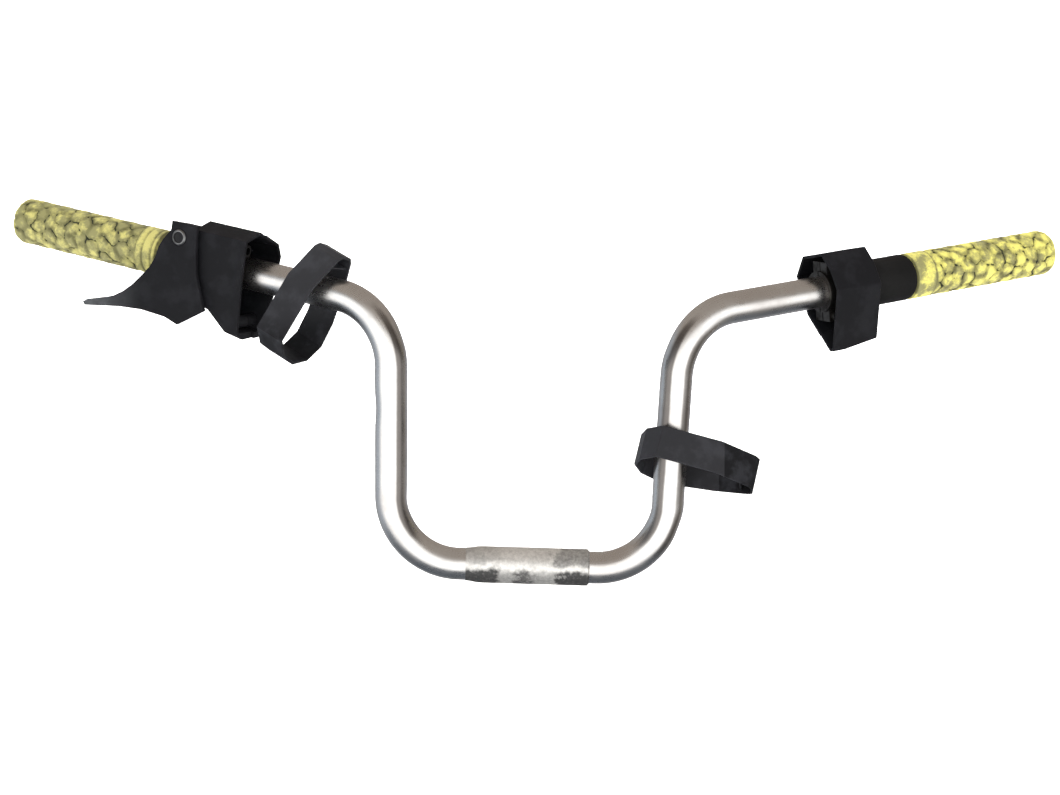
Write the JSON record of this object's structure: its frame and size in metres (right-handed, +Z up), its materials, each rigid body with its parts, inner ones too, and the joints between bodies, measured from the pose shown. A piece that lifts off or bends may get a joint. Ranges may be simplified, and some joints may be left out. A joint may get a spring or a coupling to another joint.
{
  "type": "motorcycle handlebar",
  "caption": "Bent tube handlebar with raised, swept-back grips, a thumb throttle lever, two black control housings and two loose moulded straps.",
  "frame": {"origin": "centre of the clamp section, on the tube's axis", "axes": "+X towards the control side (rider's left), +Y towards the rider, +Z up along the risers"},
  "size_m": [0.7683, 0.1917, 0.2467],
  "materials": {
    "polished_steel": "polished, lightly scratched",
    "worn_steel": "worn, knurled, grimy",
    "yellow_rubber": "matte, soiled, scale pattern",
    "black_rubber": "matte",
    "black_plastic": "matte, moulded",
    "strap_plastic": "satin, moulded",
    "zinc_steel": "dull zinc plate",
    "bright_steel": "bright plate",
    "black_hardware": "black oxide",
    "bush_brass": "plain"
  },
  "bodies": {
    "bar": {"handlebar_tube": "polished_steel", "clamp_sleeve": "worn_steel", "throttle_side_grip": "yellow_rubber", "control_side_grip": "yellow_rubber", "control_side_spacer": "black_rubber", "throttle_front_shell": "black_plastic", "throttle_rear_shell": "black_plastic", "throttle_shell_screws": "black_hardware", "throttle_collar_front": "zinc_steel", "throttle_collar_rear": "zinc_steel", "throttle_collar_screws": "zinc_steel", "lever_pivot_bushes": "bush_brass", "throttle_return_spring": "bright_steel", "cable_adjuster": "black_hardware", "cable_adjuster_locknut": "black_hardware", "control_front_shell": "black_plastic", "control_rear_shell": "black_plastic", "control_shell_screws": "black_hardware", "control_collar_front": "zinc_steel", "control_collar_rear": "zinc_steel", "control_collar_screws": "zinc_steel"},
    "thumb_lever": {"throttle_lever": "black_plastic", "lever_pivot_shaft": "black_hardware", "lever_pivot_eyelet": "bright_steel", "lever_pivot_nut": "black_hardware", "throttle_cable_drum": "zinc_steel"},
    "hanging_strap": {"throttle_side_strap": "strap_plastic"},
    "riser_band": {"riser_strap": "strap_plastic"}
  },
  "joints": [
    {"name": "throttle_press", "type": "hinge", "parent": "bar", "child": "thumb_lever", "pos_m": [-0.23626, 0.07325, 0.2152], "axis": [-0.4695, -0.8829, 0], "range_deg": [0, 40], "stiffness_Nm_per_rad": 0.1, "springref_deg": -28.65, "deforming": ["throttle_return_spring"]},
    {"name": "strap_swing", "type": "hinge", "parent": "bar", "child": "hanging_strap", "pos_m": [-0.14139, 0.02281, 0.1824], "axis": [-0.8754, 0.4655, 0.1305], "continuous": true},
    {"name": "riser_strap_slide", "type": "slide", "parent": "bar", "child": "riser_band", "axis": [0.0256, 0, 0.9997], "range_m": [-0.012, 0.032]}
  ]
}
